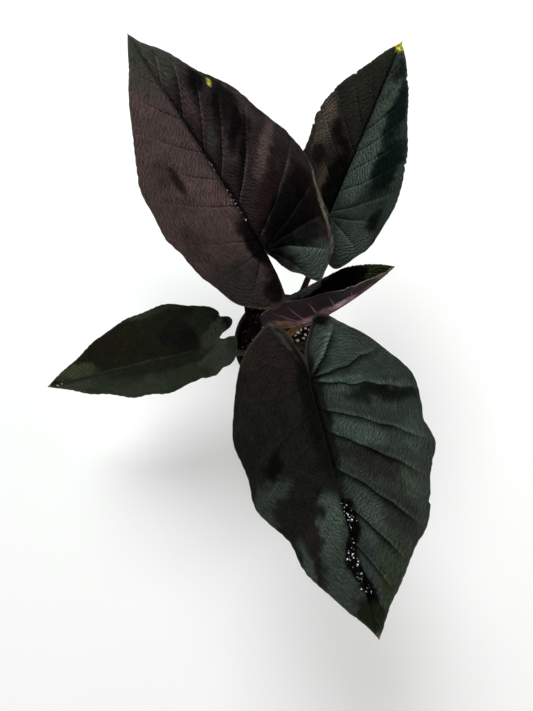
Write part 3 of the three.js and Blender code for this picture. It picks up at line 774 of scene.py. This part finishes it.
def painted(colour, washes, p, q):
    """The skin's colour at p, q: each wash covers it most at its own middle and fades out softly."""
    blur = 6 * noise.noise(Vector((p * 0.09, q * 0.09, 3))) + 4 * noise.noise(Vector((p * 0.28, q * 0.28, 8)))
    for at_p, at_q, length, width, wash, *slant in washes:
        lean = slant[0] if slant else 0.5 * smooth(-5, 10, at_p)
        ragged = blur * min(min(length, width) / 7, 1)
        ahead = p - at_p - lean * (q - at_q) + ragged
        far = (ahead / length) ** 2 + ((q - at_q - 0.7 * ragged) / width) ** 2
        cover = smooth(1.9, 0.25, far)
        colour = [between(old, new, cover) for old, new in zip(colour, wash)]
    grey = sum(colour) / 3
    return light(*(max(grey + SATURATION * (part - grey), 0) for part in colour))


def layer(layers, name):
    """The layer of that name, made if it isn't there yet."""
    return layers.get(name) or layers.new(name)


def half_blade(sheet, leaf, side):
    """One half of a blade, as a grid whose rows follow the side veins from the midrib to the margin."""
    half = leaf["left"] if side > 0 else leaf["right"]
    line, margin_length = even_outline(half["outline"])
    ends = [0, *half["lobe_veins"], *half["veins"], 1]
    starts = [0] * (1 + len(half["lobe_veins"])) + [*leaf["roots"], leaf["length"]]
    flat, mark = [layer(sheet.loops.layers.uv, name) for name in ("flat", "veins")]
    skin, under = [layer(sheet.loops.layers.float_color, name) for name in ("skin", "under")]
    body = sheet.verts.layers.deform.verify()
    rows = STEPS_BETWEEN_VEINS * (len(ends) - 1)
    made = bmesh.ops.create_grid(sheet, x_segments=rows, y_segments=STEPS_ACROSS, size=1)["verts"]
    spots = {}
    for vert in made:
        row = round((vert.co.x + 1) / 2 * rows)
        across = ((vert.co.y + 1) / 2) ** 1.25
        gap = min(row // STEPS_BETWEEN_VEINS, len(ends) - 2)
        share = row / STEPS_BETWEEN_VEINS - gap
        share -= 0.09 * math.sin(2 * math.pi * share)
        t = between(ends[gap], ends[gap + 1], share)
        root = between(starts[gap], starts[gap + 1], share)
        margin = margin_point(leaf, side, half, line, t)
        p = root + (margin.x - root) * ((1 - VEIN_BEND) * across + VEIN_BEND * across ** 2)
        q = margin.y * across
        p += 6 * across * (1 - across) * noise.noise(Vector((root * 0.06, q * 0.12, side + leaf["length"])))
        spacing = between(starts[gap + 1] - starts[gap], (ends[gap + 1] - ends[gap]) * margin_length, across)
        from_vein = min(share, 1 - share) * spacing * 0.85
        if gap == 0:
            from_vein = (1 - share) * spacing * 0.85
        room = smooth(2, 26, margin.y)
        bulge = half["pleat"] * room * abs(math.sin(math.pi * share ** half.get("lean", 1))) ** 0.8
        inside = min(max(8 * t, 0), 1) * min(max(6 * (1 - t), 0), 1)
        ripple = leaf["wave"] * inside * math.sin(2 * math.pi * leaf["waves"] * t + leaf["wave_phase"] + side)
        groove = (0.2 * half["pleat"] * math.exp(-((from_vein / 0.8) ** 2)) * smooth(0, 2, q)
                  * smooth(4, 20, margin.y - q))
        spine = 0.5 * math.exp(-((q / 1.1) ** 2)) * smooth(leaf["length"], leaf["length"] - 20, p)
        quilt = 0.5 * noise.noise(Vector((p * 0.13, side * q * 0.13, leaf["length"]))) * smooth(0, 12, q)
        frill = 0.45 * noise.noise(Vector((t * 34, side * 3, leaf["length"] * 2))) * smooth(0.72, 1, across)
        lift = (bulge * math.sin(math.pi * across ** 0.8) + ripple * across ** 3 - groove - spine
                + quilt + frill)
        vert.co = blade_point(leaf, side, p, q, lift * inside if gap == 0 else lift)
        vert[body][0] = between(1, MARGIN_SHARE, across ** 3)
        # The skin's colour with its washes: partly the leaf's own colour, partly painted sheen and
        # highlights.
        colour = painted(half["skin"], half["washes"], p, q)
        if leaf is LEAVES["front"]:
            off_track = abs(side * q - interpolated(*zip(*WET_TRACK), p))
            off_track += 1.4 * noise.noise(Vector((p, q, 5)) * 0.4)
            wet = smooth(4.8, 2.4, off_track) * smooth(66, 70, p) * smooth(144, 134, p)
            colour = Vector(colour).lerp(Vector(light(12, 10, 10)), wet)
        # The skin's colour is made lighter just before each vein, a painted highlight, and darker just after
        # it, a painted shade, as light would fall on the swelling's flanks.
        after = share * spacing / half.get("lee", 3)
        before = ((1 - share) * spacing - 1.1) / 1.1
        sun = (half["painted_flank_light"] * smooth(0.02, 0.1, across) * smooth(1, 0.7, across)
               * between(0.4, 1, smooth(150, 90, p)))
        sun = 1 + sun * (1.8 * math.exp(-before ** 2) - (0.85 * math.exp(-after ** 2) if gap else 0))
        colour = (colour[0] * sun, colour[1] * sun, colour[2] * sun, 1)
        # The underside's colour with its washes; the young leaf's pale bands there are painted highlights.
        below = painted(half.get("under", (44, 32, 36)), half.get("under_washes", ()), p, q)
        spots[vert] = (p, side * q, from_vein, (1 - across) * margin.y, colour, below)
    faces = {face for vert in made for face in vert.link_faces}
    for face in faces:
        for loop in face.loops:
            p, q, from_vein, from_margin, colour, below = spots[loop.vert]
            loop[flat].uv = (p / FLAT_SPAN + FLAT_AT[0], q / FLAT_SPAN + FLAT_AT[1])
            loop[mark].uv = ((from_vein + half.get("faint", 0)) / VEIN_SPAN, from_margin / MARGIN_SPAN)
            loop[skin] = colour
            loop[under] = below
    if side < 0:
        bmesh.ops.reverse_faces(sheet, faces=list(faces))


def vein_marks(finish):
    """The flat leaf's own place in millimetres, and the distances from the nearest vein and the margin."""
    flat_mm = finish.scaled(finish.uv("flat"), FLAT_SPAN)
    from_vein = finish.make("ShaderNodeSeparateXYZ", {}, finish.uv("veins"))
    from_margin = Tone(finish, from_vein.socket.node.outputs[1])
    return flat_mm, from_vein * VEIN_SPAN, from_margin * MARGIN_SPAN


velvet = Finish("velvet_skin")
place, from_vein, from_margin = vein_marks(velvet)
skin_tone = velvet.make("ShaderNodeAttribute", {"attribute_name": "skin"}, out=0)
cloud = velvet.grain(place, 0.11, 4.0, 0.65)
mottle = velvet.grain(place, 0.6, 4.0, 0.7)
across_veins = velvet.make("ShaderNodeCombineXYZ", {}, from_vein * 0.16, from_margin * 0.8, cloud * 9.0)
fibres = velvet.grain(across_veins, 1.0, 3.0, 0.65)
print_place = velvet.make("ShaderNodeCombineXYZ", {}, from_margin, from_vein * 0.7 + cloud * 8.0, 0.0)
ridges = velvet.make("ShaderNodeTexGabor", {"gabor_type": "2D"}, out=0, Vector=print_place, Scale=0.34,
                     Frequency=2.0, Anisotropy=0.62, Orientation=0.0).fade(0.34, 0.66)
combed = velvet.grain(place, 0.06, 2.0).fade(0.35, 0.6) * 0.5 + 0.5
cells = velvet.make("ShaderNodeTexVoronoi", {"feature": "DISTANCE_TO_EDGE"}, out=0,
                    Vector=velvet.make("ShaderNodeVectorMath", {"operation": "MULTIPLY_ADD"},
                                       velvet.grain(place, 0.5, 2.0, out=1), (2.4, 2.4, 0.0), place),
                    Scale=0.42)
net = 1.0 - cells.fade(0.0, 0.07)
papillae = velvet.grain(place, 1.5, 2.0, 0.7)
beside = velvet.make("ShaderNodeSeparateXYZ", {}, place, out=1) - FLAT_AT[1] * FLAT_SPAN
along = velvet.make("ShaderNodeSeparateXYZ", {}, place) - FLAT_AT[0] * FLAT_SPAN
off_rib = beside.maths("ABSOLUTE")
# The side veins are darkened in the skin's colour, a painted shade in their grooves; the same mask also sinks
# them in the bump.
vein_line = (1.0 - from_vein.fade(0.12, 0.75)) * (1.0 - off_rib.fade(5.0, 26.0)) * from_margin.fade(1.0, 8.0)
rib = along.fade(-1.0, 3.0) * from_margin.fade(1.5, 5.0)
# The skin is darkened in the midrib's groove, a painted shade, and lightened in a thin line along one side of
# it, a painted highlight.
rib_groove_shade = beside.fade(-1.0, -0.3) * (1.0 - beside.fade(1.3, 2.4)) * rib
rib_crest_highlight = beside.fade(-1.7, -1.2) * (1.0 - beside.fade(-1.0, -0.5)) * rib
gloss = velvet.make("ShaderNodeSeparateColor", {}, skin_tone, out=1).fade(0.002, 0.05)
# The skin's tone varies at random; its fine striations are partly its own ridges and partly painted sheen,
# brighter where the skin is glossy.
shade = (cloud.fade(0.36, 0.64) * 0.22 - 0.01 + mottle.fade(0.36, 0.64) * 0.22
         + fibres.fade(0.34, 0.66) * 0.26 + ridges * combed * (gloss * 0.55 + 0.22)
         + papillae.fade(0.38, 0.62) * 0.3 - vein_line * 0.42 - net * 0.05)
edge = 1.0 - from_margin.fade(0.25, 0.8)
shaded_skin = velvet.scaled(skin_tone, shade * (1.0 - rib_groove_shade * 0.62))
crest_highlighted_skin = velvet.mix(shaded_skin, light(74, 64, 54), rib_crest_highlight * 0.08)
skin_colour = velvet.mix(crest_highlighted_skin, light(72, 67, 57), edge * 0.32)
skin_normal = velvet.bump(fibres * 0.4 + ridges * combed * (gloss * 0.5 + 0.35) + papillae * 0.5
                          - net * 0.1 - vein_line * 0.4 + mottle * 0.3, 0.0011)
# Fine pale specks mixed into the skin's colour where it is glossy are painted highlights.
glint = papillae.fade(0.54, 0.7) * ridges * gloss
velvet.body(
    Base_Color=velvet.mix(skin_colour, light(124, 138, 132), glint * 0.6),
    Roughness=0.36 + mottle * 0.14 + net * 0.1,
    Specular_IOR_Level=0.35,
    Normal=skin_normal,
)
dull = velvet.make("ShaderNodeBsdfPrincipled", {}, Base_Color=skin_colour, Roughness=0.8,
                   Specular_IOR_Level=0.0, Normal=skin_normal)
shine = Tone(velvet, velvet.tree.nodes["Principled BSDF"].outputs[0])
velvet.plug(velvet.tree.nodes["Material Output"].inputs["Surface"],
            velvet.make("ShaderNodeMixShader", {}, gloss * 0.62 + 0.03, dull, shine))

plum = Finish("plum_underside")
place, from_vein, from_margin = vein_marks(plum)
plum_tone = plum.make("ShaderNodeAttribute", {"attribute_name": "under"}, out=0)
plum_cloud = plum.grain(place, 0.14, 4.0, 0.65)
plum_along = plum.make("ShaderNodeCombineXYZ", {}, from_vein * 0.2, from_margin * 0.9, 0.0)
plum_strands = plum.grain(plum_along, 1.0, 3.0)
plum_grit = plum.grain(place, 1.4, 3.0, 0.7)
plum_vein = (1.0 - from_vein.fade(0.1, 0.5)) * from_margin.fade(2.0, 12.0)
plum_shade = (0.05 + plum_cloud.fade(0.36, 0.64) * 0.5 + plum_strands.fade(0.35, 0.65) * 0.5
              + plum_grit.fade(0.38, 0.62) * 0.3)
plum_colour = plum.scaled(plum_tone, plum_shade)
plum.body(
    Base_Color=plum.mix(plum_colour, light(132, 104, 110), plum_vein * 0.6),
    Roughness=0.55 + plum_cloud * 0.1,
    Specular_IOR_Level=0.06,
    Normal=plum.bump(plum_vein * 0.8 + plum_strands * 0.3 + plum_grit * 0.3 + plum_cloud * 0.4, 0.0007),
)

rim_finish = Finish("leaf_rim")
rim_mottle = rim_finish.grain(rim_finish.place(), 300.0, 3.0)
rim_finish.body(
    Base_Color=rim_finish.mix(light(30, 26, 22), light(62, 55, 45), rim_mottle.fade(0.35, 0.65)),
    Roughness=0.5,
    Specular_IOR_Level=0.3,
)

for name, leaf in LEAVES.items():
    sheet = bmesh.new()
    for side in (1, -1):
        half_blade(sheet, leaf, side)
    bmesh.ops.remove_doubles(sheet, verts=sheet.verts, dist=0.002)
    blade = add_piece(f"leaf_{name}", sheet, [velvet.owner, plum.owner, rim_finish.owner], "leaf_blade",
                      f"blade_{name}")
    blade.vertex_groups.new(name="body")
    body = blade.modifiers.new("body", "SOLIDIFY")
    body.thickness = BLADE_THICKNESS * MM
    body.offset = 0
    body.vertex_group = "body"
    body.thickness_vertex_group = 0.3
    body.material_offset = 1
    body.material_offset_rim = 2
    soften = blade.modifiers.new("margin", "BEVEL")
    soften.width = 0.2 * MM
    soften.segments = 2
    soften.limit_method = "ANGLE"
    soften.angle_limit = math.radians(62)

# The stalks: smooth succulent leaf stalks, thick at the foot and thinner at the blade, where each turns
# into the midrib that stands out below the blade as a tapered ridge.
STALKS = {
    # back_left's stalk is coloured darker than its own dark maroon: painted shade from the leaves over it.
    "back_left": dict(
        side=155, radius=(2.7, 1.9), colour=(15, 7, 8), sheen=0.0,
        route=[(-15, 5, 80), (-22.5, 11, 108), (-25, 26, 145), (-19.5, 43, 173)]),
    "back_right": dict(
        side=90, radius=(2.6, 1.8), colour=(58, 40, 28),
        route=[(0, 10, 80), (6, 22, 106), (15, 42, 126), (23.5, 68, 143)]),
    "young": dict(
        side=None, radius=(3.0, 2.0), colour=(104, 78, 48),
        route=[(-2, 0, 80), (1, 3.5, 104), (8.5, 9.8, 119.5)]),
    "low_left": dict(
        side=225, radius=(2.5, 1.8), colour=(56, 54, 44),
        route=[(-14, -7, 70.5), (-30, -7.8, 81.5), (-46, -5.6, 93.5), (-55.5, -5.9, 102.5)]),
    "front": dict(
        side=325, radius=(2.8, 2.0), colour=(30, 12, 13),
        route=[(7, -3.5, 95), (12, -4.5, 145), (12.5, -13, 182)]),
}
STALK_RING, STALK_FOOT, STALK_SUNK = 6.8, 52, 0.6
STALK_SIDES, STALK_RINGS = 24, 60
RIDGE_SIDES, RIDGE_RINGS, RIDGE_REACH = 14, 48, 0.93
RIDGE_FOOT, RIDGE_TIP, RIDGE_BELOW = 1.3, 0.25, 0.4


def bar(shape, line, radii, sides):
    """A round bar through the middles in line, closed at both ends."""
    flat = layer(shape.loops.layers.uv, "flat")
    rings = len(line) - 1
    made = bmesh.ops.create_grid(shape, x_segments=rings, y_segments=sides, size=1)["verts"]
    across = Vector((1, 0, 0))
    frames = []
    for number, middle in enumerate(line):
        ahead = (line[min(number + 1, rings)] - line[max(number - 1, 0)]).normalized()
        across = (across - ahead * across.dot(ahead)).normalized()
        frames.append((middle, across, ahead.cross(across)))
    for vert in made:
        ring = round((vert.co.x + 1) / 2 * rings)
        share = (vert.co.y + 1) / 2
        turn = 2 * math.pi * share
        middle, one, two = frames[ring]
        for loop in vert.link_loops:
            loop[flat].uv = (ring / rings, share)
        vert.co = middle + (one * math.cos(turn) + two * math.sin(turn)) * radii[ring]
    bmesh.ops.remove_doubles(shape, verts=made, dist=1e-4)
    edges = [edge for edge in shape.edges if edge.is_boundary]
    bmesh.ops.holes_fill(shape, edges=edges, sides=0)
    bmesh.ops.recalc_face_normals(shape, faces=shape.faces)


rib_finish = Finish("midrib_skin")
rib_strands = rib_finish.grain(rib_finish.stretched(rib_finish.uv("flat"), (9.0, 30.0, 1.0)), 1.0, 4.0)
rib_finish.body(
    Base_Color=rib_finish.mix(light(58, 38, 40), light(104, 78, 80), rib_strands.fade(0.35, 0.65)),
    Roughness=0.5,
    Specular_IOR_Level=0.15,
    Normal=rib_finish.bump(rib_strands, 0.0003),
)

for name, stalk in STALKS.items():
    leaf = LEAVES[name]
    turn = math.radians(stalk["side"] or 0)
    ring = 0 if stalk["side"] is None else STALK_RING
    foot = CROWN_AT + Vector((ring * math.cos(turn), ring * math.sin(turn), STALK_FOOT))
    line, _ = even_outline([foot, *stalk["route"], leaf["at"]], STALK_RINGS)
    line[-1] = line[-1] - Vector((0, 0, STALK_SUNK))
    thick, thin = stalk["radius"]
    radii = [between(thick, thin, number / STALK_RINGS) for number in range(STALK_RINGS + 1)]
    shape = bmesh.new()
    bar(shape, line, radii, STALK_SIDES)
    peel = Finish(f"stalk_{name}")
    strands = peel.grain(peel.stretched(peel.uv("flat"), (5.0, 46.0, 1.0)), 1.0, 4.0)
    flecks = peel.grain(peel.place(), 420.0, 4.0, 0.65)
    red, green, blue = stalk["colour"]
    furrow = light(red * 0.55, green * 0.5, blue * 0.5)
    peel.body(
        Base_Color=peel.mix(
            peel.mix(light(red, green, blue), furrow, strands.fade(0.35, 0.65)),
            light(red * 0.4, green * 0.35, blue * 0.4), flecks.fade(0.5, 0.62) * 0.7),
        Roughness=0.5 + strands * 0.2,
        Specular_IOR_Level=stalk.get("sheen", 0.05),
        Normal=peel.bump(strands * 0.6 + flecks * 0.3, 0.00025),
    )
    add_piece(f"petiole_{name}", shape, [peel.owner], "stalk_skin", f"stalk_{name}")

    ridge = bmesh.new()
    widths = [between(RIDGE_FOOT, RIDGE_TIP, (step / RIDGE_RINGS) ** 0.7) for step in range(RIDGE_RINGS + 1)]
    middles = []
    for step, width in enumerate(widths):
        p = leaf["length"] * RIDGE_REACH * step / RIDGE_RINGS
        fold = blade_point(leaf, 1, p, 0)
        below = blade_point(leaf, 1, p, 0, -1) + blade_point(leaf, -1, p, 0, -1) - 2 * fold
        middles.append(fold + below.normalized() * (RIDGE_BELOW + width))
    bar(ridge, middles, widths, RIDGE_SIDES)
    add_piece(f"midrib_{name}", ridge, [rib_finish.owner], "leaf_blade")

# Water left from spraying: beads that stand along the front leaf's midrib, and a few on its neighbours.
BEAD_SEED = 17
beads = bmesh.new()
dice = random.Random(BEAD_SEED)


def bead(leaf, side, p, q, radius):
    """One drop that stands on a blade's upper face."""
    made = bmesh.ops.create_icosphere(beads, subdivisions=2 if radius > 0.35 else 1, radius=radius)["verts"]
    here = blade_point(leaf, side, p, q)
    ahead = (blade_point(leaf, side, p + 1, q) - here).normalized()
    beside = (blade_point(leaf, side, p, q + 1) - here).normalized() * side
    up = ahead.cross(beside).normalized()
    bmesh.ops.scale(beads, verts=made, vec=(1, 1, 0.62))
    turn = Matrix((ahead, beside, up)).transposed()
    bmesh.ops.rotate(beads, verts=made, cent=(0, 0, 0), matrix=turn)
    bmesh.ops.translate(beads, verts=made, vec=here + up * (BLADE_THICKNESS / 2 + 0.22 * radius))


for _ in range(140):
    p = between(WET_TRACK[0][0], WET_TRACK[-1][0], dice.random())
    q = interpolated(*zip(*WET_TRACK), p) + dice.gauss(0, 1.9)
    bead(LEAVES["front"], 1 if q > 0 else -1, p, abs(q), 0.16 + 0.34 * dice.random() ** 1.4)
for name, count, first, last, spread, smallest, more in [("back_left", 40, 18, 66, 0.6, 0.12, 0.16),
                                                         ("low_left", 14, 103, 115.5, 0.8, 0.15, 0.2)]:
    for _ in range(count):
        bead(LEAVES[name], 1, between(first, last, dice.random()), abs(dice.gauss(0, spread)),
             smallest + more * dice.random())
water = Finish("water")
# Some beads are given a nearly white colour where the noise is high: painted highlights on the water.
glint = water.grain(water.place(), 420.0, 1.0)
water.body(
    Base_Color=water.mix((0.02, 0.02, 0.02, 1), (0.9, 0.9, 0.92, 1), glint.fade(0.42, 0.58)),
    Roughness=0.03,
    IOR=1.4,
    Specular_IOR_Level=0.6,
)
add_piece("water_beads", beads, [water.owner], "leaf_blade")
